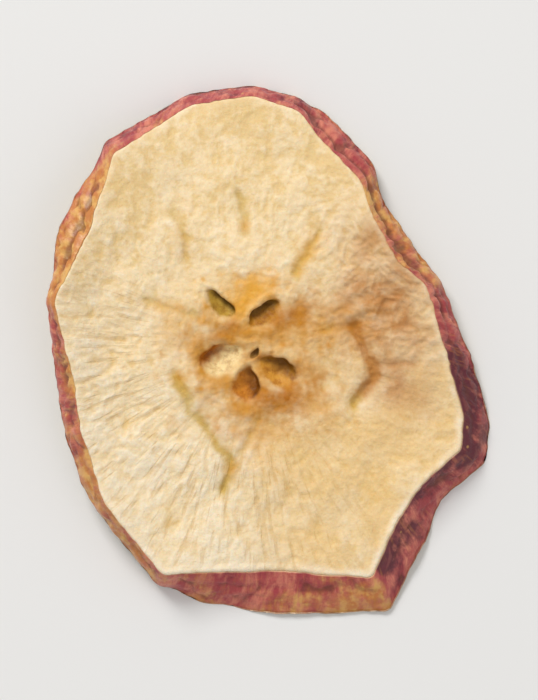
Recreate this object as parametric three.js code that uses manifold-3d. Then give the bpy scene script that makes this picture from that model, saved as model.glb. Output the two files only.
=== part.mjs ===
// A dried apple slice with its peel on, cut across the core, lying on a table with its cut face up.
// Millimetres, +Z up, +X to the right and +Y away from the viewer. One solid: the flesh has shrunk to a thin
// web, the peel keeps more of its height and leans out round it, and seed pockets make a star at the core.
import * as THREE from "three";
import { mergeVertices } from "three/addons/utils/BufferGeometryUtils.js";
import Module from "manifold-3d";

// Driving dimensions
const fleshThickness = 2.8; // the dried web between core and rim
const peelBulge = 0.35; // how far the band swells outwards at its middle
const bulgeRise = 0.2; // and how much of that swell points upwards
const coreReach = 10; // inside this radius the rings of the cut face are round
const roundReach = 28; // the radius that such a round ring would have at the rim
const rimShare = 0.74; // from this share of the way out the flesh turns towards the peel's edges
const coreDip = 0.45; // the cut faces sink this much at the core
const coreDipRadius = 11;
const cornerRounding = 1.2; // degrees each side over which a corner of the rim is rounded
const lowestSliver = 0.25; // the lowest spots are pressed flat by this much where the slice lies

// The upper edge of the rim, corner by corner: direction in degrees, distance from the core's middle, how
// far the peel leans out below that edge, the width of its band, and how far the drying lifted the corner.
const rimCorners = [
  { at: 18, reach: 23.6, flare: 2.2, width: 5.0, lift: 0.4 },
  { at: 30, reach: 21.3, flare: 2.9, width: 5.0, lift: 0.7 },
  { at: 48, reach: 22.7, flare: 2.4, width: 5.0, lift: 0.4 },
  { at: 57, reach: 25.3, flare: 3.0, width: 5.2, lift: 0.2 },
  { at: 72, reach: 27.7, flare: 3.3, width: 5.0, lift: -0.1 },
  { at: 78, reach: 30.4, flare: 1.9, width: 4.8, lift: -0.2 },
  { at: 90, reach: 31.8, flare: 1.6, width: 4.6, lift: -0.3 },
  { at: 105, reach: 31.6, flare: 1.7, width: 4.6, lift: -0.3 },
  { at: 126, reach: 30.0, flare: 2.1, width: 4.8, lift: 0.6 },
  { at: 147, reach: 25.0, flare: 3.8, width: 5.2, lift: 0.9 },
  { at: 168, reach: 25.8, flare: 1.2, width: 4.8, lift: 0.6 },
  { at: 195, reach: 23.4, flare: 2.4, width: 4.9, lift: 0.5 },
  { at: 207, reach: 24.6, flare: 2.3, width: 4.9, lift: 0.4 },
  { at: 219, reach: 26.0, flare: 2.4, width: 4.8, lift: 0.3 },
  { at: 228, reach: 28.2, flare: 1.6, width: 4.8, lift: 0.1 },
  { at: 249, reach: 32.0, flare: 1.8, width: 5.0, lift: -0.4 },
  { at: 261, reach: 29.9, flare: 4.4, width: 5.8, lift: -0.4 },
  { at: 276, reach: 29.6, flare: 5.8, width: 6.3, lift: -0.4 },
  { at: 297, reach: 34.2, flare: 5.1, width: 6.2, lift: -0.9 },
  { at: 309, reach: 29.6, flare: 4.9, width: 5.6, lift: 0.0 },
  { at: 321, reach: 28.5, flare: 3.4, width: 5.2, lift: 0.6 },
  { at: 333, reach: 30.4, flare: 3.8, width: 5.0, lift: 1.2 },
  { at: 342, reach: 28.5, flare: 3.8, width: 5.0, lift: 0.8 },
];

// The broad warp: so many waves round the rim, their height there, and the direction in degrees of a crest.
// The single wave is a tilt that brings the three spots the slice stands on to one level.
const warpWaves = [
  { waves: 1, height: 2.16, crest: 162.7 },
  { waves: 2, height: 1.4, crest: 4 },
  { waves: 3, height: 1.0, crest: 40 },
  { waves: 5, height: 0.35, crest: 16 },
];
const warpRadius = 29; // where the waves reach their stated height

// Low lumps that run across both faces: wave length, height and the direction in degrees that they run in
const lumps = [
  { length: 13.7, height: 0.13, towards: 20 },
  { length: 9.1, height: 0.1, towards: 77 },
  { length: 7.3, height: 0.08, towards: 138 },
];

// Creases in the upper face, drawn through points in mm from the core's middle. Below 0 it is a ridge.
const creases = [
  {
    through: [[-9.8, -4.2], [-7.8, -8.7], [-6.1, -10.8], [-4.4, -13.2], [-3.0, -15.0]],
    halfWidth: 0.9, depth: 0.35,
  },
  { through: [[-2.5, -16.2], [-2.8, -17.2], [-3.8, -18.8]], halfWidth: 1.0, depth: 0.35 },
  { through: [[0.9, -10.2], [-0.3, -12.4], [-1.6, -14.2]], halfWidth: 0.8, depth: 0.15 },
  { through: [[9.5, 1.6], [12.4, 2.2]], halfWidth: 0.9, depth: 0.2 },
  {
    through: [[13.2, 2.2], [14.2, -0.5], [15.6, -3.0], [15.6, -4.6], [13.1, -7.9]],
    halfWidth: 0.9, depth: 0.45,
  },
  { through: [[16.8, -3.0], [18.2, -2.5], [21.0, -2.7]], halfWidth: 0.8, depth: 0.2 },
  { through: [[12.8, 3.7], [14.4, 4.3], [16.6, 4.8]], halfWidth: 0.8, depth: -0.25 },
  { through: [[-10.2, 17.0], [-8.8, 14.6], [-8.5, 11.0]], halfWidth: 0.8, depth: 0.2 },
  { through: [[-1.6, 19.0], [-0.9, 15.6], [-0.8, 14.0]], halfWidth: 0.8, depth: 0.25 },
  { through: [[8.7, 14.6], [6.8, 11.0], [5.6, 9.2]], halfWidth: 0.9, depth: 0.3 },
  { through: [[-13.6, 5.4], [-7.1, 3.2]], halfWidth: 0.8, depth: 0.2 },
];

// Seed pockets, in mm from the middle of the core: place, half length and half width, direction in degrees,
// how far the floor leans to one side of the mouth, how deep each is open from above and from below, how
// many times as wide the gentle side is, and how much wider the end in that direction is than the middle.
const seedPockets = [
  {
    at: [-3.9, 5.0], half: [2.6, 0.85], turn: 139, lean: [0.4, 0.4],
    above: 1.15, below: 0.2, gentle: 2.0, taper: -0.1,
  },
  {
    at: [1.4, 3.7], half: [2.8, 1.15], turn: 36, lean: [-0.35, 0.65],
    above: 1.05, below: 0.2, gentle: 1.6, taper: 0.2,
  },
  {
    at: [-3.9, -2.0], half: [3.5, 2.0], turn: 20, lean: [-0.6, 0.6],
    above: 1.3, below: 0.2, gentle: 1.3, taper: -0.35,
  },
  {
    at: [-0.6, -5.3], half: [2.7, 2.05], turn: 84, lean: [0.55, 0.15],
    above: 1.3, below: 0.2, gentle: 1.1, taper: -0.5,
  },
  {
    at: [3.2, -3.5], half: [3.3, 1.7], turn: 335, lean: [0.4, 0.75],
    above: 1.3, below: 0.2, gentle: 1.4, taper: 0.3,
  },
  {
    at: [0.3, -1.5], half: [0.9, 0.5], turn: 60, lean: [0.1, 0.1],
    above: 0.6, below: 0, gentle: 1.0, taper: 0,
  },
];
const pocketPoint = 1.7; // 2 is an ellipse, 1 is a diamond

// Facets
const stepsRound = 120;
const upperRows = 18;
const bandRows = 5;
const lowerRows = 12;
const pocketSteps = 16;

const radians = THREE.MathUtils.degToRad;
const { lerp, smoothstep, euclideanModulo } = THREE.MathUtils;

// The two corners that a direction lies between, and its share of the way from one to the other
function cornersRound(degrees) {
  const count = rimCorners.length;
  for (let i = 0; i < count; i++) {
    const from = rimCorners[i];
    const to = rimCorners[(i + 1) % count];
    const span = euclideanModulo(to.at - from.at, 360);
    const past = euclideanModulo(degrees - from.at, 360);
    if (past < span) return { from, to, past, span, share: past / span };
  }
}

// Distance to the straight line between two corners, in a direction between them
function chordReach(degrees) {
  const { from, to, past, span } = cornersRound(degrees);
  const across = from.reach * Math.sin(radians(past)) + to.reach * Math.sin(radians(span - past));
  return (from.reach * to.reach * Math.sin(radians(span))) / across;
}

function rimReach(degrees) {
  const taps = [-1, -0.5, 0, 0.5, 1];
  const sum = taps.reduce((total, tap) => total + chordReach(degrees + tap * cornerRounding), 0);
  return sum / taps.length;
}

// A corner's other values run smoothly from one corner to the next
function cornerValue(degrees, key) {
  const { from, to, share } = cornersRound(degrees);
  return lerp(from[key], to[key], smoothstep(share, 0, 1));
}

function warp(x, y) {
  const radius = Math.hypot(x, y);
  const angle = Math.atan2(y, x);
  return warpWaves.reduce((height, wave) => {
    const swell = Math.pow(radius / warpRadius, wave.waves);
    return height + wave.height * swell * Math.cos(wave.waves * (angle - radians(wave.crest)));
  }, 0);
}

function lumpHeight(x, y) {
  return lumps.reduce((height, lump) => {
    const along = x * Math.cos(radians(lump.towards)) + y * Math.sin(radians(lump.towards));
    return height + lump.height * Math.sin((2 * Math.PI * along) / lump.length);
  }, 0);
}

function distanceToCrease(x, y, crease) {
  const place = new THREE.Vector3(x, y, 0);
  const points = crease.through.map(([px, py]) => new THREE.Vector3(px, py, 0));
  const nearest = new THREE.Vector3();
  let distance = Infinity;
  for (let i = 1; i < points.length; i++) {
    new THREE.Line3(points[i - 1], points[i]).closestPointToPoint(place, true, nearest);
    distance = Math.min(distance, nearest.distanceTo(place));
  }
  return distance;
}

function creaseDepth(x, y) {
  return creases.reduce((depth, crease) => {
    const away = distanceToCrease(x, y, crease) / crease.halfWidth;
    return depth + crease.depth * Math.exp(-away * away);
  }, 0);
}

// Half the height of the rim: the leaning band is as wide as the upright one, so it stands less high
function halfRimHeight(degrees) {
  return Math.sqrt(cornerValue(degrees, "width") ** 2 - cornerValue(degrees, "flare") ** 2) / 2;
}

// A point of the upper (side 1) or lower (side -1) face, a share of the way out from the core's middle
function facePoint(degrees, share, side) {
  const upper = side > 0;
  const flare = upper ? 0 : cornerValue(degrees, "flare");
  const shaping = smoothstep(share, coreReach / roundReach, 1);
  const radius = share * lerp(roundReach, rimReach(degrees) + flare, shaping);
  const x = radius * Math.cos(radians(degrees));
  const y = radius * Math.sin(radians(degrees));
  const turned = smoothstep(share, rimShare, 1);
  const half = lerp(fleshThickness / 2, halfRimHeight(degrees), turned);
  const lift = cornerValue(degrees, "lift") * Math.pow(share, 4);
  const dip = coreDip * (1 - smoothstep(radius, 0, coreDipRadius));
  const relief = lumpHeight(x, y) - (upper ? creaseDepth(x, y) : 0);
  return new THREE.Vector3(x, y, warp(x, y) + lift + relief * (1 - turned) + side * (half - dip / 2));
}

// A point of the peel band, from the upper edge (share 0) to the lower edge (share 1)
function peelPoint(degrees, share) {
  const upper = facePoint(degrees, 1, 1);
  const lower = facePoint(degrees, 1, -1);
  const point = upper.clone().lerp(lower, share);
  const out = new THREE.Vector3(Math.cos(radians(degrees)), Math.sin(radians(degrees)), bulgeRise);
  return point.addScaledVector(out, peelBulge * Math.sin(Math.PI * share));
}

// The profile from the lower face's middle, round the peel, to the upper face's middle
function profilePoint(row, degrees) {
  if (row <= lowerRows) return facePoint(degrees, row / lowerRows, -1);
  const band = row - lowerRows;
  if (band < bandRows) return peelPoint(degrees, 1 - band / bandRows);
  return facePoint(degrees, 1 - (band - bandRows) / upperRows, 1);
}

// A closed geometry without repeated points or empty triangles
function closedGeometry(geometry) {
  geometry.deleteAttribute("normal");
  geometry.deleteAttribute("uv");
  const merged = mergeVertices(geometry, 1e-4);
  const index = merged.index.array;
  const kept = [];
  for (let i = 0; i < index.length; i += 3) {
    const [a, b, c] = index.slice(i, i + 3);
    if (a !== b && b !== c && c !== a) kept.push(a, b, c);
  }
  merged.setIndex(kept);
  return merged;
}

// The slice before the seed pockets are opened: a turned disc whose points are moved to their places
function sliceGeometry() {
  const rows = lowerRows + bandRows + upperRows;
  const profile = [];
  for (let row = 0; row <= rows; row++) profile.push(new THREE.Vector2(Math.min(row, rows - row), row));
  const geometry = new THREE.LatheGeometry(profile, stepsRound);
  const position = geometry.getAttribute("position");
  for (let i = 0; i < position.count; i++) {
    const row = i % (rows + 1);
    const step = Math.floor(i / (rows + 1)) % stepsRound;
    const point = profilePoint(row, (360 * step) / stepsRound);
    position.setXYZ(i, point.x, point.y, point.z);
  }
  return closedGeometry(geometry);
}

// An almond-shaped cutter for one seed pocket, on the upper or the lower face
function pocketGeometry(pocket, side) {
  const depth = side > 0 ? pocket.above : pocket.below;
  const geometry = new THREE.SphereGeometry(1, pocketSteps, pocketSteps / 2);
  geometry.rotateX(Math.PI / 2);
  const position = geometry.getAttribute("position");
  const away = radians(pocket.turn) - Math.atan2(pocket.lean[1], pocket.lean[0]);
  const gentleSide = Math.sign(Math.sin(away));
  for (let i = 0; i < position.count; i++) {
    const along = position.getX(i);
    const across = position.getY(i);
    const spread = (Math.abs(along) ** pocketPoint + Math.abs(across) ** pocketPoint) ** (1 / pocketPoint);
    const pointed = Math.hypot(along, across) / Math.max(spread, 1e-9);
    const wider = (across * gentleSide > 0 ? pocket.gentle : 1) * (1 + pocket.taper * along * pointed);
    position.setXY(i, along * pointed, across * pointed * wider);
  }
  geometry.scale(...pocket.half, depth);
  geometry.rotateZ(radians(pocket.turn));
  for (let i = 0; i < position.count; i++) {
    const sunk = Math.max(0, -side * position.getZ(i)) / depth;
    position.setX(i, position.getX(i) + pocket.lean[0] * sunk);
    position.setY(i, position.getY(i) + pocket.lean[1] * sunk);
  }
  const [x, y] = pocket.at;
  const middle = warp(x, y) + lumpHeight(x, y);
  geometry.translate(x, y, middle + (side * (fleshThickness - coreDip)) / 2);
  return closedGeometry(geometry);
}

const wasm = await Module();
wasm.setup();

function solidOf(geometry) {
  const vertProperties = new Float32Array(geometry.getAttribute("position").array);
  const triVerts = new Uint32Array(geometry.index.array);
  return new wasm.Manifold(new wasm.Mesh({ numProp: 3, vertProperties, triVerts }));
}

function geometryOf(solid) {
  const mesh = solid.getMesh();
  const geometry = new THREE.BufferGeometry();
  geometry.setAttribute("position", new THREE.BufferAttribute(mesh.vertProperties, 3));
  geometry.setIndex(new THREE.BufferAttribute(mesh.triVerts, 1));
  return geometry;
}

// Presses the lowest spots flat and puts the origin under the middle of the slice, on the table
function settled(geometry) {
  geometry.computeBoundingBox();
  const { min, max } = geometry.boundingBox;
  const table = min.z + lowestSliver;
  const position = geometry.getAttribute("position");
  for (let i = 0; i < position.count; i++) position.setZ(i, Math.max(position.getZ(i), table));
  return geometry.translate(-(min.x + max.x) / 2, -(min.y + max.y) / 2, -table);
}

let slice = solidOf(sliceGeometry());
for (const pocket of seedPockets) {
  slice = slice.subtract(solidOf(pocketGeometry(pocket, 1)));
  if (pocket.below > 0) slice = slice.subtract(solidOf(pocketGeometry(pocket, -1)));
}

const driedApple = new THREE.MeshStandardMaterial({ color: 0xe8cc98, roughness: 0.75, metalness: 0 });
const appleRing = new THREE.Mesh(settled(geometryOf(slice)), driedApple);
appleRing.name = "apple_ring";

const part = new THREE.Group();
part.add(appleRing);

export default part;
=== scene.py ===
# A dried apple slice with its peel on, lying on a pale table with its cut face up.
# Shapes are worked out in millimetres from the core's middle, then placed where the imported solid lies.
import bpy
import bmesh
from collections import namedtuple
from math import atan2, cos, degrees, exp, hypot, pi, radians, sin, sqrt
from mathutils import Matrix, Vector, noise


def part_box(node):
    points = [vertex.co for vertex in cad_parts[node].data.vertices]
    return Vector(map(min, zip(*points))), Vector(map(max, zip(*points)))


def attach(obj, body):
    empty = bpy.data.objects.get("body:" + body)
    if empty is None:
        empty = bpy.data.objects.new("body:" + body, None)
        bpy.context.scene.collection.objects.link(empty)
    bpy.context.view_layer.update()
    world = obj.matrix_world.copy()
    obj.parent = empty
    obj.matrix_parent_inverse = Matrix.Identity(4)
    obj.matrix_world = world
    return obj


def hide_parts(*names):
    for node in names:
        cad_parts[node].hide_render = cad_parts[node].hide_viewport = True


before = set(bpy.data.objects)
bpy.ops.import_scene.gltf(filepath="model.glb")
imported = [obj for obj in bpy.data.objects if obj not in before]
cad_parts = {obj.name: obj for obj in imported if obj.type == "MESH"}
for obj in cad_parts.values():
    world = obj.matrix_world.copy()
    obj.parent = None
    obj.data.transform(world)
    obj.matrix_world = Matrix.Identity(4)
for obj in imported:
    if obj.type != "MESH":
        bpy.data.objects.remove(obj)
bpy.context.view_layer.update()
scene = bpy.context.scene
mm = 0.001


def clamp(value, low=0.0, high=1.0):
    return max(low, min(high, value))


def smooth(value, low=0.0, high=1.0):
    t = clamp((value - low) / (high - low))
    return t * t * (3 - 2 * t)


def mix(a, b, t):
    return a + (b - a) * t


# Soft noise over the slice, between -1 and 1, with patches about as wide as the size in mm
def noiseAt(x, y, size, seed):
    return noise.noise(Vector((x / size, y / size, seed)))


# The same round the rim, with about as many patches on the whole way round as the count
def ringNoise(angle, count, along=0.0, seed=0.0):
    k = count / (2 * pi)
    return noise.noise(Vector((cos(radians(angle)) * k + seed, sin(radians(angle)) * k - seed, along + seed)))


def paint(code):
    channels = [int(code[i:i + 2], 16) / 255 for i in (0, 2, 4)]
    return tuple(c / 12.92 if c <= 0.04045 else ((c + 0.055) / 1.055) ** 2.4 for c in channels)


# The slice: what a user would change. Lengths in mm, directions in degrees.
appleSlice = {
    "fleshThickness": 2.8,      # the dried web between core and rim
    "peelBulge": 0.35,          # how far the band swells outwards at its middle
    "bulgeRise": 0.2,           # and how much of that swell points upwards
    "coreReach": 10,            # inside this radius the rings of the cut face are round
    "roundReach": 28,           # the radius that such a round ring would have at the rim
    "rimShare": 0.74,           # from here outwards the flesh turns towards the peel's edges
    "coreDip": 0.45,            # the cut faces sink this much at the core
    "coreDipRadius": 11,
    "cornerRounding": 1.2,      # a corner of the rim is rounded this far to both sides
    "lowestSliver": 0.25,       # the lowest spots are pressed flat by this much
    "edgeRound": 0.24,          # rounding of the edges between flesh and peel
    "scallop": 0.28,            # fine waviness of those edges
    "edgeRise": 0.25,           # their slower waves up and down
    "standingLip": 0.16,        # the dried edge of the cut face stands up by this much
    "fibreDepth": 0.14,         # radial wrinkles of the flesh
    "fibreSide": 232,           # the side where those wrinkles are strongest
    "puckerDepth": 0.13,        # the network of shrunken flesh
    "grainHeight": 0.05,        # the small bumps of dried cells
    "swellHeight": 0.16,        # the low swells under them
    "creaseCut": 0.5,           # the sharp line in the middle of a crease, as a share of its depth
    "lipHeight": 0.14,          # raised lips round the seed pockets
    "floorRelief": 0.12,        # unevenness of the seed pockets' floors
    "pocketPoint": 1.7,         # 2 makes a seed pocket an ellipse, 1 a diamond
    "peelWrinkle": 0.3,         # wrinkles that run across the peel band
    "foldDepth": 0.5,           # the fold that runs along the band
    "rimLightSide": 288,        # where the dried edge shows palest, with its painted highlight
    "redderSide": 320,          # the peel is redder here next to the cut face
    "grainSpread": 16,          # a larger number sets the flesh's and peel's streaks closer together
}

# Corners of the rim: direction, reach, lean of the peel, width of its band, lift, and how folded it is
rimCorner = namedtuple("rimCorner", "at reach lean width lift folded")
rimCorners = [rimCorner(*row) for row in (
    (18, 23.6, 2.2, 5.0, 0.4, 0.7),
    (30, 21.3, 2.9, 5.0, 0.7, 1.0),
    (48, 22.7, 2.4, 5.0, 0.4, 0.9),
    (57, 25.3, 3.0, 5.2, 0.2, 1.0),
    (72, 27.7, 3.3, 5.0, -0.1, 0.8),
    (78, 30.4, 1.9, 4.8, -0.2, 0.5),
    (90, 31.8, 1.6, 4.6, -0.3, 0.2),
    (105, 31.6, 1.7, 4.6, -0.3, 0.2),
    (126, 30.0, 2.1, 4.8, 0.6, 0.3),
    (147, 25.0, 3.8, 5.2, 0.9, 1.0),
    (168, 25.8, 1.2, 4.8, 0.6, 0.4),
    (195, 23.4, 2.4, 4.9, 0.5, 0.3),
    (207, 24.6, 2.3, 4.9, 0.4, 0.3),
    (219, 26.0, 2.4, 4.8, 0.3, 0.3),
    (228, 28.2, 1.6, 4.8, 0.1, 0.3),
    (249, 32.0, 1.8, 5.0, -0.4, 0.3),
    (261, 29.9, 4.4, 5.8, -0.4, 0.4),
    (276, 29.6, 5.8, 6.3, -0.4, 0.4),
    (297, 34.2, 5.1, 6.2, -0.9, 0.3),
    (309, 29.6, 4.9, 5.6, 0.0, 0.4),
    (321, 28.5, 3.4, 5.2, 0.6, 0.4),
    (333, 30.4, 3.8, 5.0, 1.2, 0.3),
    (342, 28.5, 3.8, 5.0, 0.8, 0.3),
)]

# Redness of the peel, by direction: 0 is straw, 1 is deep maroon
rednessMarks = [
    (18, 0.5), (30, 0.3), (50, 0.25), (60, 0.8), (78, 0.95), (90, 0.95), (105, 0.9), (126, 0.8),
    (134, 0.3), (147, 0.2), (166, 0.25), (176, 0.55), (207, 0.5), (216, 0.35), (228, 0.3), (245, 0.35),
    (256, 0.65), (266, 0.75), (280, 0.6), (289, 0.4), (297, 0.35), (300, 1.1), (310, 1.15), (321, 0.8),
    (333, 1.15), (350, 1.2),
]

# The broad warp: waves round the rim, height, and direction of a crest
warpWaves = [(1, 2.16, 162.7), (2, 1.4, 4), (3, 1.0, 40), (5, 0.35, 16)]
warpRadius = 29     # where the waves reach that height
lumps = [(13.7, 0.13, 20), (9.1, 0.1, 77), (7.3, 0.08, 138)]     # wave length, height, direction

# Creases of the upper face: points, half width, depth. A negative depth is a ridge
creases = [
    ([(-9.8, -4.2), (-7.8, -8.7), (-6.1, -10.8), (-4.4, -13.2), (-3.0, -15.0)], 0.9, 0.35),
    ([(-2.5, -16.2), (-2.8, -17.2), (-3.8, -18.8)], 1.0, 0.35),
    ([(0.9, -10.2), (-0.3, -12.4), (-1.6, -14.2)], 0.8, 0.15),
    ([(9.5, 1.6), (12.4, 2.2)], 0.9, 0.2),
    ([(13.2, 2.2), (14.2, -0.5), (15.6, -3.0), (15.6, -4.6), (13.1, -7.9)], 0.9, 0.45),
    ([(16.8, -3.0), (18.2, -2.5), (21.0, -2.7)], 0.8, 0.2),
    ([(12.8, 3.7), (14.4, 4.3), (16.6, 4.8)], 0.8, -0.25),
    ([(-10.2, 17.0), (-8.8, 14.6), (-8.5, 11.0)], 0.8, 0.2),
    ([(-1.6, 19.0), (-0.9, 15.6), (-0.8, 14.0)], 0.8, 0.25),
    ([(8.7, 14.6), (6.8, 11.0), (5.6, 9.2)], 0.9, 0.3),
    ([(-13.6, 5.4), (-7.1, 3.2)], 0.8, 0.2),
]

# Seed pockets: place, half length, half width, direction, shift of the floor, depth from above and below, how
# much wider the gentle side is, colour of the steep wall, with painted shade in it, and of the floor, how
# much wider one end is, and where the wall's shaded colour begins
seedPocket = namedtuple("seedPocket", "x y halfLength halfWidth turn leanX leanY above below gentle"
                        " wall floor taper wallStart")
seedPockets = [seedPocket(*row) for row in (
    (-3.9, 5.0, 2.6, 0.85, 139, 0.4, 0.4, 1.15, 0.2, 2.0, "6C4E08", "C29A3E", -0.1, 0.0),
    (1.4, 3.7, 2.8, 1.15, 36, -0.35, 0.65, 1.05, 0.2, 1.6, "80580E", "BC8020", 0.2, -0.3),
    (-3.9, -2.0, 3.5, 2.0, 20, -0.6, 0.6, 1.3, 0.2, 1.3, "AE6410", "F8DEA2", -0.35, 0.0),
    (-0.6, -5.3, 2.7, 2.05, 84, 0.55, 0.15, 1.3, 0.2, 1.1, "6E3E08", "D0862C", -0.5, -0.2),
    (3.2, -3.5, 3.3, 1.7, 335, 0.4, 0.75, 1.3, 0.2, 1.4, "825410", "D8993A", 0.3, -0.3),
    (0.3, -1.5, 0.9, 0.5, 60, 0.1, 0.1, 0.6, 0.0, 1.0, "6A4816", "94692A", 0.0, -0.2),
)]


# The two marks that a direction lies between, how far past the first it is, and how far apart they are
def marksRound(marks, angle):
    for a, b in zip(marks, marks[1:] + marks[:1]):
        span = (b[0] - a[0]) % 360
        past = (angle - a[0]) % 360
        if past < span:
            return a, b, past, span
    return marks[0], marks[1], 0.0, marks[1][0] - marks[0][0]     # a hair short of the first mark


def chordReach(angle):
    a, b, past, span = marksRound(rimCorners, angle)
    across = a.reach * sin(radians(past)) + b.reach * sin(radians(span - past))
    return a.reach * b.reach * sin(radians(span)) / across


# The rim's values in one direction, kept for the many points that share it
rimCache = {}


def rimAt(angle):
    key = round(angle % 360, 4)
    if key not in rimCache:
        taps = [-1, -0.5, 0, 0.5, 1]
        reach = sum(chordReach(key + t * appleSlice["cornerRounding"]) for t in taps) / len(taps)
        a, b, past, span = marksRound(rimCorners, key)
        t = smooth(past / span)
        rimCache[key] = rimCorner(key, reach, *(mix(p, q, t) for p, q in zip(a[2:], b[2:])))
    return rimCache[key]


def rednessAt(angle):
    a, b, past, span = marksRound(rednessMarks, angle)
    return mix(a[1], b[1], past / span)


def warp(x, y):
    r, a = hypot(x, y), atan2(y, x)
    return sum(h * (r / warpRadius) ** n * cos(n * (a - radians(c))) for n, h, c in warpWaves)


def lumpHeight(x, y):
    return sum(h * sin(2 * pi * (x * cos(radians(c)) + y * sin(radians(c))) / w) for w, h, c in lumps)


def distanceToLine(x, y, points):
    best = 1e9
    for (ax, ay), (bx, by) in zip(points, points[1:]):
        dx, dy = bx - ax, by - ay
        t = clamp(((x - ax) * dx + (y - ay) * dy) / (dx * dx + dy * dy))
        best = min(best, hypot(x - ax - t * dx, y - ay - t * dy))
    return best


def creaseDepth(x, y, narrow=1.0):
    depth = 0.0
    for points, halfWidth, deep in creases:
        away = distanceToLine(x, y, points) / (halfWidth * narrow)
        if away < 3:
            depth += deep * exp(-away * away)
    return depth


# The same along a wandering line
def fineCrease(x, y, narrow):
    dx = 0.6 * noiseAt(x, y, 1.7, 3) + 0.25 * noiseAt(x, y, 0.6, 13)
    dy = 0.6 * noiseAt(x, y, 1.7, 7) + 0.25 * noiseAt(x, y, 0.6, 17)
    broken = 1.0 + 0.45 * noiseAt(x, y, 2.2, 23)
    return creaseDepth(x + dx, y + dy, narrow) * broken


# Where a point lies along and across a seed pocket or stain: its edge is at 1
def placeIn(oval, x, y):
    c, s = cos(radians(oval.turn)), sin(radians(oval.turn))
    along = ((x - oval.x) * c + (y - oval.y) * s) / oval.halfLength
    across = (-(x - oval.x) * s + (y - oval.y) * c) / oval.halfWidth
    return along, across


# Distance from a seed pocket's middle. Its ends are pointed, one end is wider, and so is the gentle side
def hollowDistance(x, y, pocket):
    along, across = placeIn(pocket, x, y)
    across /= max(0.3, 1 + pocket.taper * along)
    steepSide = pocket.leanY * cos(radians(pocket.turn)) - pocket.leanX * sin(radians(pocket.turn))
    if across * steepSide < 0:
        across /= pocket.gentle
    point = appleSlice["pocketPoint"]
    return (abs(along) ** point + abs(across) ** point) ** (1 / point)


# The plain form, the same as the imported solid's
def facePoint(angle, share, side):
    rim = rimAt(angle)
    a = appleSlice
    shaping = smooth(share, a["coreReach"] / a["roundReach"], 1)
    outer = rim.reach if side > 0 else rim.reach + rim.lean
    r = share * mix(a["roundReach"], outer, shaping)
    x, y = r * cos(radians(angle)), r * sin(radians(angle))
    turned = smooth(share, a["rimShare"], 1)
    rimHalf = sqrt(rim.width ** 2 - rim.lean ** 2) / 2
    half = mix(a["fleshThickness"] / 2, rimHalf, turned)
    dip = a["coreDip"] * (1 - smooth(r, 0, a["coreDipRadius"]))
    relief = lumpHeight(x, y) - (creaseDepth(x, y) if side > 0 else 0)
    z = warp(x, y) + rim.lift * share ** 4 + relief * (1 - turned) + side * (half - dip / 2)
    return Vector((x, y, z))


def outwards(angle, rise=appleSlice["bulgeRise"]):
    return Vector((cos(radians(angle)), sin(radians(angle)), rise))


def peelPoint(angle, share):
    upper, lower = facePoint(angle, 1, 1), facePoint(angle, 1, -1)
    return upper.lerp(lower, share) + outwards(angle) * appleSlice["peelBulge"] * sin(pi * share)


# How far the soft quarter round of an edge lies below the sharp one, at a distance from it
def roundedBy(distance, radius):
    if distance >= radius:
        return 0.0
    t = 1 - distance / radius
    return radius * (1 - sqrt(max(0.0, 1 - t * t)))


# The seed pocket that a point lies in or next to, how deep inside it is from 0 to 1, and how near to one
def pocketAt(x, y):
    wx = x + 0.35 * noiseAt(x, y, 1.5, 51) + 0.07 * noiseAt(x, y, 0.5, 53)
    wy = y + 0.35 * noiseAt(x, y, 1.5, 57) + 0.07 * noiseAt(x, y, 0.5, 59)
    deepest, inside, near = None, 0.0, 9.0
    for pocket in seedPockets:
        away = hollowDistance(wx, wy, pocket)
        near = min(near, away)
        hollow = (1 - smooth(away, 0.3, 1.12)) * pocket.above
        if deepest is None or hollow > inside:
            deepest, inside = pocket, hollow
    return deepest, inside / deepest.above, near


# Radial wrinkles: how many go round the slice, and their weight
fibreCounts = [(56, 0.7), (120, 0.5)]


# 0 between the wrinkles, and about -1 in the deepest
def fibreRelief(x, y, angle, seed):
    r = hypot(x, y)
    bend = 5 * noiseAt(x, y, 5, seed)
    fibres = 0.0
    for count, weight in fibreCounts:
        n = ringNoise(angle + bend, count, r * 0.17, seed + count)
        fibres -= weight * (1 - min(1.0, abs(n) * 2.6)) ** 2
    strong = smooth(cos(radians(angle - appleSlice["fibreSide"])), -0.1, 0.95)
    return fibres * smooth(r, 9, 18) * mix(0.3, 1.2, strong)


# The network that flesh makes as it shrinks: 1 on its crests
def puckerRelief(x, y, seed):
    wx = x + 1.2 * noiseAt(x, y, 3.4, seed + 1)
    wy = y + 1.2 * noiseAt(x, y, 3.4, seed + 2)
    wide = abs(noiseAt(wx, wy, 2.3, seed + 4))
    close = abs(noiseAt(wx, wy, 1.0, seed + 6))
    return 0.5 * (1 - 3.2 * wide) + 0.5 * (1 - 3.2 * close)
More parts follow.
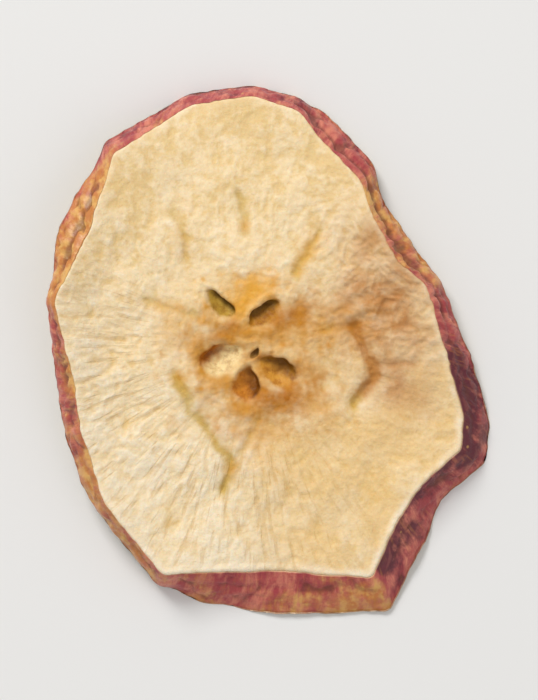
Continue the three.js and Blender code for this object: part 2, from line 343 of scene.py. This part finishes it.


# Fine relief of a cut face, and how pale and lit it is from 0 to 1: painted light on its crests and the lower
# left, painted shade in its hollows and towards the top
def faceRelief(x, y, angle, side, inside, near):
    seed = 0.0 if side > 0 else 37.0     # the two faces differ
    a = appleSlice
    puckers = puckerRelief(x, y, seed)
    fibres = fibreRelief(x, y, angle, seed)
    onRight = smooth(x, 6, 13) * smooth(y, -6, 1) * (1 - smooth(y, 11, 17))
    rough = mix(1, 2.6, onRight)
    grain = noiseAt(x, y, 0.6, seed) + 1.2 * noiseAt(x, y, 1.4, seed + 9)
    swell = noiseAt(x, y, 6.5, seed)
    crease = -a["creaseCut"] * fineCrease(x, y, 0.4) if side > 0 else 0.0
    lip = exp(-((near - 1.4) / 0.25) ** 2) if side > 0 else 0.0
    height = a["puckerDepth"] * puckers * mix(1, rough, 0.5) + a["fibreDepth"] * fibres
    height += a["grainHeight"] * grain * rough + a["swellHeight"] * swell + crease + a["lipHeight"] * lip
    paintedSideLight = 0.36 * smooth(-0.5 * x - 0.6 * y, 2, 18) - 0.25 * smooth(y, 6, 26)     # painted light, palest at the lower left and darker towards the top
    # Painted light on the crests, painted shade in the hollows
    paleAndLit = clamp(0.5 + paintedSideLight + 0.22 * puckers + 0.14 * grain + 0.3 * fibres + 0.3 * swell)
    return height * (1 - 0.75 * inside), paleAndLit


# How much the dried edge shows, most on the lower right and along the bottom: its pale colour there is partly
# the dried flesh and partly a painted highlight
def rimLight(angle):
    return mix(0.2, 1.0, smooth(cos(radians(angle - appleSlice["rimLightSide"])), 0.0, 0.8))


# A point of one of the cut faces, with its waves towards the rim given
def cutFacePoint(angle, share, side, scallop, rise):
    a = appleSlice
    point = facePoint(angle, share, side)
    inward = (1 - share) * rimAt(angle).reach
    nearRim = smooth(share, 0.86, 1)
    point += outwards(angle, 0) * scallop * nearRim ** 3
    point.z += rise * nearRim ** 2
    pocket, inside, near = pocketAt(point.x, point.y)
    height, paleAndLit = faceRelief(point.x, point.y, angle, side, inside, near)
    calm = mix(0.4, 1, 1 - smooth(share, 0.93, 1))
    point.z += side * (height * calm - roundedBy(inward, a["edgeRound"]))
    sunk = inside * (pocket.above if side > 0 else pocket.below)
    if side > 0:
        standing = a["standingLip"] * (0.7 + 0.9 * ringNoise(angle, 30, 0, 15)) * rimLight(angle)
        point.z += max(0.0, standing) * exp(-((inward - 0.45) / 0.35) ** 2)
        point.x += pocket.leanX * inside ** 1.5
        point.y += pocket.leanY * inside ** 1.5
        sunk += a["floorRelief"] * inside * noiseAt(point.x, point.y, 0.7, 61)
    point.z -= side * sunk
    return point, paleAndLit, (pocket, inside)


# Wrinkles across the peel: how many go round the slice, how fast they change down the band, and their weight
wrinkleCounts = [(44, 1.5, 1.0), (96, 2.6, 0.75), (190, 3.4, 0.4)]


# A point of the peel a share of the way down it, and how deep in a fold it lies, for the painted shade in the
# folds and the painted highlight on the crests
def peelSkinPoint(angle, down, scallop, rise):
    a = appleSlice
    rim = rimAt(angle)
    point = peelPoint(angle, down) + outwards(angle, 0) * scallop
    point.z += rise
    bend = 4 * noise.noise(Vector((down * 2.2, angle / 16, 2)))
    wrinkle = 0.0
    for count, change, weight in wrinkleCounts:
        wrinkle += weight * (2.6 * abs(ringNoise(angle + bend, count, down * change, count)) - 0.5)
    long = 0.4 - 2.2 * abs(noise.noise(Vector((angle / 7, down * 4.5 + 0.5 * bend, 8))))
    wrinkle = 0.4 - max(0.0, 0.5 - (wrinkle - 0.5 * long))     # broad smooth crests, narrow furrows
    foldPlace = down - 0.34 - 0.08 * ringNoise(angle, 20, 0, 2)
    fold = -a["foldDepth"] * rim.folded * exp(-(foldPlace / 0.1) ** 2)
    strong = mix(0.85, 1.3, rim.folded) * smooth(sin(pi * down), 0, 0.5)
    relief = a["peelWrinkle"] * strong * wrinkle + fold
    # Painted shade in the folds and painted highlight on the crests follow this
    foldShade = clamp(0.4 - relief / 0.7)
    relief -= roundedBy(down * rim.width, a["edgeRound"]) + roundedBy((1 - down) * rim.width, a["edgeRound"])
    return point + outwards(angle) * relief, foldShade


def onFace(co):
    return abs(co.z) > 0.9999


# Waves of the edges between flesh and peel: how many go round the slice, their weight, and a seed
scallopCounts = [(46, 0.7, 3), (110, 0.5, 5), (230, 0.3, 9)]


# A point of the finished skin from a point of a coin with radius 1 and faces at z 1 and -1,
# with how deep in a fold it lies, how pale and lit it is for painted shade and light, and the seed pocket
# there
def slicePoint(co):
    share = min(1.0, hypot(co.x, co.y))
    angle = degrees(atan2(co.y, co.x))
    scallop = sum(weight * ringNoise(angle, count, 0, seed) for count, weight, seed in scallopCounts)
    scallop *= appleSlice["scallop"]
    rise = appleSlice["edgeRise"] * ringNoise(angle, 38, 0, 11)
    if onFace(co):
        point, paleAndLit, hollow = cutFacePoint(angle, share, 1 if co.z > 0 else -1, scallop, rise)
        return point, 0.0, paleAndLit, hollow
    point, foldShade = peelSkinPoint(angle, (1 - co.z) / 2, scallop, rise)
    return point, foldShade, 0.5, None


# The coin's mesh: finer near the core's middle, where the seed pockets are, and finest at the rim. Lengths
# are shares of the radius, and a ring's edges are halved wherever it has grown past doubleAt for each edge
skinGrid = {
    "firstEdges": 40,
    "rimEdges": 640,
    "upperFace": {"fineStep": 0.0056, "fineReach": 0.34, "step": 0.01, "doubleAt": 0.0016},
    "lowerFace": {"fineStep": 0.0135, "fineReach": 0, "step": 0.0135, "doubleAt": 0.0024},
    "nearRim": 0.03,        # here the rings draw closer, down to lastStep
    "lastStep": 0.004,
    "bandEdges": [0.97, 0.93, 0.88],    # heights of the rows next to an edge of the peel band
    "bandRows": 16,         # and how many rows lie between those of its two edges
}


def madeOf(made, kind):
    return [g for g in made if isinstance(g, kind)]


# A disc grown outwards ring by ring, returned as the edges of its rim
def growDisc(bm, level, grid):
    share, edges = grid["fineStep"], skinGrid["firstEdges"]
    made = bmesh.ops.create_circle(bm, cap_ends=True, cap_tris=True, segments=edges, radius=share)
    bmesh.ops.translate(bm, verts=made["verts"], vec=(0, 0, level))
    ring = list(dict.fromkeys(e for v in made["verts"] for e in v.link_edges if e.is_boundary))
    while share < 1 - 1e-6:
        if edges < skinGrid["rimEdges"] and share >= grid["doubleAt"] * edges:
            cut = bmesh.ops.subdivide_edges(bm, edges=ring, cuts=1)
            halves = madeOf(cut["geom_split"], bmesh.types.BMEdge)
            ring = [e for e in dict.fromkeys(halves + ring) if e.is_boundary]
            edges *= 2
            for v in dict.fromkeys(v for e in ring for v in e.verts):     # back onto the circle
                flat = hypot(v.co.x, v.co.y)
                v.co.x *= share / flat
                v.co.y *= share / flat
        left = 1 - share
        grow = grid["fineStep"] if share < grid["fineReach"] else grid["step"]
        if left < skinGrid["nearRim"]:
            grow = max(skinGrid["lastStep"], left * 0.4)
        nextShare = 1.0 if left <= grow * 1.05 else share + grow
        made = bmesh.ops.extrude_edge_only(bm, edges=ring)["geom"]
        verts = madeOf(made, bmesh.types.BMVert)
        bmesh.ops.scale(bm, verts=verts, vec=(nextShare / share, nextShare / share, 1))
        ring = [e for e in madeOf(made, bmesh.types.BMEdge) if e.is_boundary]
        share = nextShare
    return ring


def coinMesh():
    bm = bmesh.new()
    growDisc(bm, -1, skinGrid["lowerFace"])
    ring = growDisc(bm, 1, skinGrid["upperFace"])
    edges, rows = skinGrid["bandEdges"], skinGrid["bandRows"]
    levels = edges + [edges[-1] * (1 - 2 * i / rows) for i in range(1, rows)]
    levels += [-z for z in reversed(edges)] + [-1.0]
    level = 1.0
    for nextLevel in levels:
        made = bmesh.ops.extrude_edge_only(bm, edges=ring)["geom"]
        bmesh.ops.translate(bm, verts=madeOf(made, bmesh.types.BMVert), vec=(0, 0, nextLevel - level))
        ring = [e for e in madeOf(made, bmesh.types.BMEdge) if e.is_boundary]
        level = nextLevel
    seam = [v for v in bm.verts if abs(v.co.z + 1) < 1e-4 and v.is_boundary]
    bmesh.ops.remove_doubles(bm, verts=seam, dist=1e-5)
    bmesh.ops.recalc_face_normals(bm, faces=bm.faces)
    return bm


# Where the core's middle lies in the frame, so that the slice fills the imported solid's box
def corePlace():
    low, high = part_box("apple_ring")
    rim = [peelPoint(i * 0.5, s / 8) for i in range(720) for s in range(9)]
    faces = [facePoint(i * 3.0, s / 18, -1) for i in range(120) for s in range(1, 19)]
    xs, ys = [p.x for p in rim], [p.y for p in rim]
    lowest = min(p.z for p in rim + faces)
    middle = (low + high) / 2 / mm
    x = middle.x - (min(xs) + max(xs)) / 2
    y = middle.y - (min(ys) + max(ys)) / 2
    return Vector((x, y, low.z / mm - lowest - appleSlice["lowestSliver"]))


core = corePlace()
print("slice: core at", [round(c, 2) for c in core], "mm")


# Stains of the cut face, with painted shadows among them: x, y, half length, half width, direction, strength,
# and tone from gold 0 to umber 1
stain = namedtuple("stain", "x y halfLength halfWidth turn strength tone")
stainsAndShadows = [stain(*row) for row in (
    (0.3, 6.6, 3.2, 2.4, 8, 0.95, 0.0),
    (-1.6, 4.2, 1.4, 2.2, 0, 0.8, 0.1),
    (-5.2, 3.4, 1.8, 1.1, 130, 0.55, 0.3),
    (5.6, 3.6, 3.0, 1.8, 8, 0.95, 0.85),
    (3.2, 2.6, 1.6, 1.3, 20, 0.85, 0.85),
    (3.2, 0.8, 3.2, 1.7, 10, 0.7, 0.4),
    (-0.8, 1.2, 2.6, 1.6, 5, 0.9, 0.4),
    (-2.5, 2.2, 1.3, 0.9, 0, 0.9, 1.0),
    (-3.8, 1.0, 2.8, 1.0, 18, 0.9, 0.8),
    (-7.2, -1.4, 1.6, 3.4, 18, 0.85, 0.4),
    (-5.2, -4.8, 2.2, 1.1, 165, 0.75, 0.35),
    (-3.2, -5.4, 1.4, 1.0, 0, 0.8, 0.6),
    (-5.8, -6.8, 1.6, 1.6, 0, 0.3, 0.5),
    (0.8, -1.8, 1.6, 1.0, 0, 0.8, 0.8),
    (1.0, -4.2, 2.2, 0.9, 117, 0.65, 0.4),
    (4.6, -5.4, 2.4, 1.1, 150, 0.85, 0.75),
    (5.8, -3.9, 0.9, 0.8, 0, 0.8, 0.9),
    # painted shadow below seed pocket 5's lip
    (4.6, -7.2, 3.5, 2.0, 12, 1.0, 0.95),
    (1.4, -7.2, 1.2, 1.3, 60, 0.9, 1.0),
    (-0.8, -8.6, 3.6, 2.2, 5, 0.95, 0.45),
    (7.2, -3.4, 2.4, 2.0, 0, 0.7, 0.45),
    (8.8, -4.5, 0.9, 0.6, 0, 0.5, 0.9),
    (8.2, -8.0, 3.4, 2.2, 150, 0.65, 0.25),
    (9.4, 1.4, 5.0, 2.8, 5, 0.64, 0.42),
    (12.5, 3.0, 4.0, 2.0, -20, 0.4, 0.7),
    # painted shade in the right crease's deepest spot
    (13.1, 2.2, 1.0, 0.8, 0, 0.6, 0.9),
    (15.4, -3.6, 1.0, 2.6, 5, 0.5, 0.7),
    (1.5, -11.4, 5.0, 2.2, 5, 0.5, 0.25),
    (1.0, -15.0, 3.4, 2.6, 0, 0.2, 0.2),
    (-10.2, 1.6, 2.6, 3.2, 0, 0.3, 0.1),
    (-9.2, -4.6, 1.2, 1.4, 25, 0.45, 0.15),
    (-2.6, -16.4, 1.1, 1.3, 0, 0.5, 0.3),
    (-10.3, -10.4, 1.0, 0.8, 0, 0.3, 0.2),
    (-8.9, 13.0, 1.1, 3.4, 8, 0.22, 0.1),
    (-0.9, 14.9, 0.6, 0.9, 0, 0.5, 0.2),
    (7.0, 11.4, 1.2, 3.4, -25, 0.45, 0.1),
    (-10.6, 4.4, 3.6, 0.9, -14, 0.25, 0.1),
)]


# How stained a point of the cut face is, painted shadows included, and how umber
def stainAndShadowAt(x, y):
    wobble = 1 + 0.55 * noiseAt(x, y, 1.8, 5) + 0.35 * noiseAt(x, y, 0.7, 6)
    clear, tone, weight = 1.0, 0.0, 1e-6
    for spot in stainsAndShadows:
        away = hypot(*placeIn(spot, x, y)) * wobble
        strength = spot.strength * exp(-away * away)
        clear *= 1 - strength
        tone += strength * spot.tone
        weight += strength
    return 1 - clear, tone / weight


# Light brown on the right, and a yellower lower right
def tanAt(x, y):
    strong = exp(-((x - 17.5) / 6.5) ** 2 - ((y - 6.0) / 9.5) ** 2)
    below = 0.6 * exp(-((x - 19) / 5) ** 2 - ((y + 5) / 5) ** 2)
    return clamp(max(strong, below) * (1 + 0.8 * noiseAt(x, y, 4, 71)) * 1.15)


def yellowAt(x, y):
    lowerRight = smooth(0.55 * x - 0.85 * y, 4, 19) * smooth(x, -4, 8)
    return clamp(lowerRight * (0.9 + 0.9 * noiseAt(x, y, 5, 81)))


# From the floor's colour to the steep wall's, which is darker in the pockets' outer parts: partly the
# lining's browner tone, partly painted shade on the wall that faces away from the light
def pocketColour(x, y, pocket):
    lean = hypot(pocket.leanX, pocket.leanY) + 1e-6
    towards = ((x - pocket.x) * pocket.leanX + (y - pocket.y) * pocket.leanY) / lean / pocket.halfWidth
    ragged = towards + 0.35 * noiseAt(x, y, 0.8, 91)
    # Painted shade: the darker colour of the steep wall
    wallShade = smooth(ragged, pocket.wallStart - 0.2, pocket.wallStart + 0.9)
    wallShade *= mix(0.55, 1, smooth(hypot(x, y), 1.5, 5))
    return [mix(f, w, wallShade) for w, f in zip(paint(pocket.wall), paint(pocket.floor))]


# Redness of the peel a share of the way down it. Opposite the redder side the lower edge is the redder
def blushAt(angle, down):
    return rednessAt(angle) + 0.5 * (0.5 - down) * cos(radians(angle - appleSlice["redderSide"]))


# Where a point lies in the pattern of streaks: round the slice, and along a streak
def grainAt(angle, along):
    spread = appleSlice["grainSpread"]
    return Vector((cos(radians(angle)) * spread, sin(radians(angle)) * spread, along))


# What the flesh's finish needs to know about a point of the cut faces
def fleshMarks(co, angle, x, y, inside):
    r = hypot(x, y)
    stainedAndShaded, umber = stainAndShadowAt(x, y)
    ragged = hypot(co.x, co.y) + 0.012 * ringNoise(angle, 60, 0, 19)
    fibrous = smooth(cos(radians(angle - appleSlice["fibreSide"])), -0.2, 0.9)
    return {
        "stain": stainedAndShaded,
        "umber": umber,
        "crease": clamp(fineCrease(x, y, 0.8) * 3.0) if co.z > 0 else 0.0,
        "tanned": tanAt(x, y),
        "yellowed": yellowAt(x, y),
        "rim": smooth(ragged, 0.955, 0.985) * rimLight(angle),
        "brushed": mix(0.2, 1.0, fibrous) * smooth(r, 9, 17),
        "halo": 1 - smooth(r + 2.2 * noiseAt(x, y, 3, 33), 4, 13),
        "pocket": inside,
    }


# The values that the finishes read at each point
markNames = ("blush", "down", "fold", "paleAndLit", "stain", "umber", "crease", "tanned", "yellowed", "rim",
             "brushed", "halo", "pocket")


# The skin: every point of the coin moved to its place
def makeSlice():
    bm = coinMesh()
    layers = {name: bm.verts.layers.float.new(name) for name in markNames}
    grainAxis = bm.verts.layers.float_vector.new("grainAxis")
    lining = bm.verts.layers.float_color.new("lining")
    for v in bm.verts:
        co = v.co.copy()
        angle = degrees(atan2(co.y, co.x))
        down = (1 - co.z) / 2
        place, fold, paleAndLit, hollow = slicePoint(co)
        marks = {
            "blush": blushAt(angle, down),
            "down": down,
            "fold": fold,
            "paleAndLit": paleAndLit,
            "rim": rimLight(angle),
        }
        if onFace(co):
            pocket, inside = hollow
            marks.update(fleshMarks(co, angle, place.x, place.y, inside))
            v[lining] = (*pocketColour(place.x, place.y, pocket), 1)
            v[grainAxis] = grainAt(angle, hypot(place.x, place.y) * 0.2)
        else:
            slant = 2 * (down - 0.5) + 1.3 * noise.noise(Vector((angle / 14, down * 1.3, 63)))
            v[grainAxis] = grainAt(angle + slant, down * 1.6)
        for name, value in marks.items():
            v[layers[name]] = value
        v.co = place
    for f in bm.faces:
        f.smooth = True
        downs = [v[layers["down"]] for v in f.verts]
        f.material_index = 0 if max(downs) == 0 or min(downs) == 1 else 1     # flesh, or peel
    for v in bm.verts:
        v.co = v.co + core
        v.co.z = max(v.co.z, 0.0)
    bmesh.ops.scale(bm, vec=(mm, mm, mm), verts=bm.verts)
    mesh = bpy.data.meshes.new("driedRing")
    bm.to_mesh(mesh)
    bm.free()
    ring = bpy.data.objects.new("driedRing", mesh)
    scene.collection.objects.link(ring)
    print("slice: skin has", len(mesh.polygons), "faces")
    return ring


# Finishes
def nodeTree(name):
    material = bpy.data.materials.new(name)
    material.use_nodes = True
    return material, material.node_tree, material.node_tree.nodes["Principled BSDF"]


def attribute(tree, name, output="Fac"):
    node = tree.nodes.new("ShaderNodeAttribute")
    node.attribute_name = name
    return node.outputs[output]


def position(tree):
    return tree.nodes.new("ShaderNodeTexCoord").outputs["Object"]


def noiseField(tree, where, scale, detail=3.0, roughness=0.55, distortion=0.0):
    node = tree.nodes.new("ShaderNodeTexNoise")
    tree.links.new(where, node.inputs["Vector"])
    node.inputs["Scale"].default_value = scale
    node.inputs["Detail"].default_value = detail
    node.inputs["Roughness"].default_value = roughness
    node.inputs["Distortion"].default_value = distortion
    return node.outputs["Fac"]


def stretched(tree, where, scale):
    node = tree.nodes.new("ShaderNodeMapping")
    tree.links.new(where, node.inputs["Vector"])
    node.inputs["Scale"].default_value = scale
    return node.outputs["Vector"]


# Runs softly from outLow to outHigh as the value goes from low to high
def window(tree, value, low, high, outLow=0.0, outHigh=1.0):
    node = tree.nodes.new("ShaderNodeMapRange")
    node.interpolation_type = "SMOOTHSTEP"
    tree.links.new(value, node.inputs["Value"])
    for name, number in (("From Min", low), ("From Max", high), ("To Min", outLow), ("To Max", outHigh)):
        node.inputs[name].default_value = number
    return node.outputs["Result"]


def reckon(tree, operation, a, b):
    node = tree.nodes.new("ShaderNodeMath")
    node.operation = operation
    for socket, value in zip(node.inputs, (a, b)):
        if isinstance(value, (int, float)):
            socket.default_value = value
        else:
            tree.links.new(value, socket)
    return node.outputs["Value"]


def times(tree, a, b):
    return reckon(tree, "MULTIPLY", a, b)


def plus(tree, a, b):
    return reckon(tree, "ADD", a, b)


# Noise turned into swings to both sides of 0
def swing(tree, value, amount):
    return times(tree, reckon(tree, "SUBTRACT", value, 0.5), amount)


def blend(tree, factor, a, b, kind="MIX"):
    node = tree.nodes.new("ShaderNodeMix")
    node.data_type = "RGBA"
    node.blend_type = kind
    tree.links.new(factor, node.inputs[0])
    for socket, value in ((node.inputs[6], a), (node.inputs[7], b)):
        if isinstance(value, tuple):
            socket.default_value = (*value, 1)
        else:
            tree.links.new(value, socket)
    return node.outputs[2]


# Small round dots in some cells of an even spread
def spots(tree, where, scale, radius, chance):
    node = tree.nodes.new("ShaderNodeTexVoronoi")
    tree.links.new(where, node.inputs["Vector"])
    node.inputs["Scale"].default_value = scale
    parts = tree.nodes.new("ShaderNodeSeparateColor")
    tree.links.new(node.outputs["Color"], parts.inputs["Color"])
    chosen = window(tree, parts.outputs["Red"], chance, chance - 0.02)
    dot = window(tree, node.outputs["Distance"], radius, radius * 0.4)
    return times(tree, chosen, dot)


def bumped(tree, shader, height, distance, strength):
    node = tree.nodes.new("ShaderNodeBump")
    tree.links.new(height, node.inputs["Height"])
    node.inputs["Distance"].default_value = distance
    node.inputs["Strength"].default_value = strength
    tree.links.new(node.outputs["Normal"], shader.inputs["Normal"])


def plainFinish(name, colour, roughness):
    material, tree, shader = nodeTree(name)
    shader.inputs["Base Color"].default_value = (*colour, 1)
    shader.inputs["Roughness"].default_value = roughness
    return material


fleshLook = {
    "cream": paint("F5DDB2"),
    "honey": paint("EACB92"),
    "paleAndLit": paint("FAEBCF"),
    "yellowed": paint("EBC27A"),
    "halo": paint("E3B564"),
    "tanned": paint("C38A52"),
    "gold": paint("E8A62E"),
    "umber": paint("A85F0E"),
    "streak": paint("D4AC6A"),
    "crease": paint("C8A442"),
    "brownCrease": paint("B5783A"),
    "rim": paint("FCEBCF"),
    "liningFold": paint("A8763A"),
    "roughness": 0.6,
    "liningRoughness": 0.42,
    "specular": 0.2,
    "glow": 0.12,           # light that passes through the thin flesh
    "glowTint": (1.0, 0.55, 0.25),
    "glowReach": 0.0015,    # metres, as the bump's depth
    "bumpDepth": 0.00016,
    "bumpStrength": 1.0,
}


def fleshFinish():
    look = fleshLook
    material, tree, shader = nodeTree("driedFlesh")
    where = position(tree)
    axis = attribute(tree, "grainAxis", "Vector")
    # Painted highlight on the crests and the lower left, painted shade in the hollows and towards the top,
    # with random mottling; yellower and browner by place
    mottleAndPaintedLight = plus(tree, attribute(tree, "paleAndLit"), swing(tree, noiseField(tree, where, 650, 4, 0.6), 1.1))
    colour = blend(tree, window(tree, mottleAndPaintedLight, 0.1, 0.55), look["honey"], look["cream"])
    colour = blend(tree, window(tree, mottleAndPaintedLight, 0.5, 1.0, 0.0, 0.8), colour, look["paleAndLit"])
    colour = blend(tree, times(tree, attribute(tree, "yellowed"), 0.6), colour, look["yellowed"])
    colour = blend(tree, times(tree, attribute(tree, "halo"), 0.55), colour, look["halo"])
    tanned = attribute(tree, "tanned")
    patchy = window(tree, noiseField(tree, where, 380, 4), 0.3, 0.65, 0.5, 1.0)
    colour = blend(tree, times(tree, tanned, patchy), colour, look["tanned"])
    # Fibres; creases, partly painted shade; stains, with painted shadows among them; and the dried edge,
    # partly a painted highlight
    lines = noiseField(tree, stretched(tree, axis, (1.9, 1.9, 1.1)), 1.0, 2.0, 0.55, 0.4)
    lines = times(tree, window(tree, lines, 0.5, 0.68), attribute(tree, "brushed"))
    colour = blend(tree, times(tree, lines, 0.42), colour, look["streak"])
    # Creases: partly their own ochre and brown lines, partly painted shade in them
    creaseToneAndShade = blend(tree, window(tree, tanned, 0.05, 0.3), look["crease"], look["brownCrease"])
    colour = blend(tree, times(tree, attribute(tree, "crease"), 0.8), colour, creaseToneAndShade)
    uneven = window(tree, noiseField(tree, where, 800, 4), 0.2, 0.6, 0.82, 1.0)
    stainedAndShaded = blend(tree, attribute(tree, "umber"), look["gold"], look["umber"])
    colour = blend(tree, times(tree, attribute(tree, "stain"), uneven), colour, stainedAndShaded)
    # The dried edge: pale, partly the dried flesh and partly a painted highlight, strongest on the lower
    # right and along the bottom
    broken = window(tree, noiseField(tree, where, 300, 3), 0.35, 0.6, 0.3, 0.9)
    colour = blend(tree, times(tree, attribute(tree, "rim"), broken), colour, look["rim"])
    # The lining of the seed pockets, then fine cells over all
    folds = noiseField(tree, where, 1000, 4, 0.6)
    lined = window(tree, plus(tree, attribute(tree, "pocket"), times(tree, folds, 0.3)), 0.22, 0.6)
    darker = window(tree, folds, 0.4, 0.7, 0.0, 0.5)
    lining = blend(tree, darker, attribute(tree, "lining", "Color"), look["liningFold"], "MULTIPLY")
    colour = blend(tree, lined, colour, lining)
    cells = window(tree, noiseField(tree, where, 2400, 2), 0.35, 0.7, 0.0, 0.16)
    colour = blend(tree, cells, colour, look["honey"], "MULTIPLY")
    tree.links.new(colour, shader.inputs["Base Color"])
    gloss = window(tree, lined, 0.0, 1.0, look["roughness"], look["liningRoughness"])
    tree.links.new(gloss, shader.inputs["Roughness"])
    shader.inputs["Specular IOR Level"].default_value = look["specular"]
    shader.inputs["Subsurface Weight"].default_value = look["glow"]
    shader.inputs["Subsurface Radius"].default_value = look["glowTint"]
    shader.inputs["Subsurface Scale"].default_value = look["glowReach"]
    height = plus(tree, noiseField(tree, where, 1700, 4, 0.62), times(tree, lines, -0.3))
    bumped(tree, shader, height, look["bumpDepth"], look["bumpStrength"])
    return material


peelLook = {
    "crimson": paint("A83E42"),
    "plum": paint("5C1A28"),
    "pink": paint("DA826A"),
    "ochre": paint("C67C38"),
    "straw": paint("DEA95C"),
    "shadedFoldBrown": paint("64301E"),
    "edge": paint("EBC79A"),
    "roughness": 0.42,
    "specular": 0.35,
    "coat": 0.2,            # the skin's wax
    "coatRoughness": 0.25,
    "bumpDepth": 0.0002,
    "bumpStrength": 0.9,
}


def peelFinish():
    look = peelLook
    material, tree, shader = nodeTree("driedPeel")
    where = position(tree)
    axis = attribute(tree, "grainAxis", "Vector")
    # Straw and ochre ground, with reds over it in patches and streaks
    patches = noiseField(tree, where, 260, 4, 0.6)
    redness = plus(tree, attribute(tree, "blush"), swing(tree, patches, 1.5))
    ground = window(tree, noiseField(tree, where, 600, 3), 0.4, 0.6)
    ground = blend(tree, ground, look["straw"], look["ochre"])
    flames = noiseField(tree, stretched(tree, axis, (1.0, 1.0, 0.8)), 1.0, 5, 0.68, 0.3)
    reds = blend(tree, window(tree, flames, 0.4, 0.68), look["crimson"], look["pink"])
    streaks = noiseField(tree, stretched(tree, axis, (3.0, 3.0, 0.9)), 1.0, 3, 0.6, 0.3)
    ragged = plus(tree, redness, swing(tree, streaks, 0.7))
    colour = blend(tree, window(tree, ragged, 0.15, 0.72), ground, reds)
    dusky = plus(tree, redness, swing(tree, flames, -0.8))
    colour = blend(tree, window(tree, dusky, 0.86, 1.25, 0.0, 0.95), colour, look["plum"])
    colour = blend(tree, times(tree, window(tree, streaks, 0.54, 0.72), 0.3), colour, look["ochre"])
    # Small pale dots, painted shade in the folds and a painted highlight on their crests, and the edges next
    # to the flesh, the upper one carrying the dried edge's painted highlight
    colour = blend(tree, times(tree, spots(tree, where, 480, 0.14, 0.4), 0.5), colour, look["straw"])
    fold = attribute(tree, "fold")
    # Painted shade: brown in the folds. Painted highlight: pink on the crests
    colour = blend(tree, window(tree, fold, 0.55, 0.95, 0.0, 0.6), colour, look["shadedFoldBrown"])
    colour = blend(tree, window(tree, fold, 0.35, 0.25, 0.0, 0.12), colour, look["pink"])
    down = attribute(tree, "down")
    upperEdge = times(tree, window(tree, down, 0.04, 0.0), attribute(tree, "rim"))
    lowerEdge = window(tree, down, 0.94, 1.0, 0.0, 0.4)
    colour = blend(tree, plus(tree, upperEdge, lowerEdge), colour, look["edge"])
    tree.links.new(colour, shader.inputs["Base Color"])
    worn = noiseField(tree, where, 900, 3)
    gloss = window(tree, worn, 0.3, 0.7, look["roughness"] - 0.08, look["roughness"] + 0.14)
    tree.links.new(gloss, shader.inputs["Roughness"])
    shader.inputs["Specular IOR Level"].default_value = look["specular"]
    shader.inputs["Coat Weight"].default_value = look["coat"]
    shader.inputs["Coat Roughness"].default_value = look["coatRoughness"]
    height = plus(tree, noiseField(tree, where, 1500, 4, 0.6), noiseField(tree, where, 480, 2))
    bumped(tree, shader, height, look["bumpDepth"], look["bumpStrength"])
    return material


ring = makeSlice()
ring.data.materials.append(fleshFinish())
ring.data.materials.append(peelFinish())
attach(ring, "root")
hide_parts("apple_ring")
print("slice: flesh and peel are finished")

# Table, light and camera: metres and watts, with the lens in millimetres
studio = {
    "floorColour": (0.80, 0.79, 0.77),
    "floorRoughness": 0.8,
    "floorHalf": 1.5,
    "keyPlace": (-0.55, 1.05, 1.0),
    "keyPower": 17.0,
    "keySize": 0.6,
    "fillPlace": (0.9, -0.7, 1.0),
    "fillPower": 3.0,
    "fillSize": 1.2,
    "skyColour": (1.0, 1.0, 1.0),
    "skyStrength": 0.5,
    "cameraHeight": 0.505,
    "clipStart": 0.01,
    "lens": 200,
}


def makeFloor():
    bm = bmesh.new()
    bmesh.ops.create_grid(bm, x_segments=1, y_segments=1, size=studio["floorHalf"])
    mesh = bpy.data.meshes.new("table")
    bm.to_mesh(mesh)
    bm.free()
    floor = bpy.data.objects.new("table", mesh)
    scene.collection.objects.link(floor)
    mesh.materials.append(plainFinish("tableTop", studio["floorColour"], studio["floorRoughness"]))


# A square lamp turned to the slice
def areaLight(name, location, size, power):
    lamp = bpy.data.lights.new(name, "AREA")
    lamp.energy = power
    lamp.size = size
    lampObject = bpy.data.objects.new(name, lamp)
    lampObject.location = location
    lampObject.rotation_euler = (-Vector(location)).to_track_quat("-Z", "Y").to_euler()
    scene.collection.objects.link(lampObject)


def makeStudio():
    areaLight("keyLight", studio["keyPlace"], studio["keySize"], studio["keyPower"])
    areaLight("fillLight", studio["fillPlace"], studio["fillSize"], studio["fillPower"])
    sky = bpy.data.worlds.new("softSky")
    scene.world = sky
    sky.use_nodes = True
    background = sky.node_tree.nodes["Background"]
    background.inputs["Color"].default_value = (*studio["skyColour"], 1)
    background.inputs["Strength"].default_value = studio["skyStrength"]
    scene.view_settings.view_transform = "Standard"
    camera = bpy.data.cameras.new("topCamera")
    camera.lens = studio["lens"]
    camera.clip_start = studio["clipStart"]
    cameraObject = bpy.data.objects.new("topCamera", camera)
    cameraObject.location = (0, 0, studio["cameraHeight"])
    scene.collection.objects.link(cameraObject)
    scene.camera = cameraObject


makeFloor()
makeStudio()
print("studio: floor, lights and camera in place")
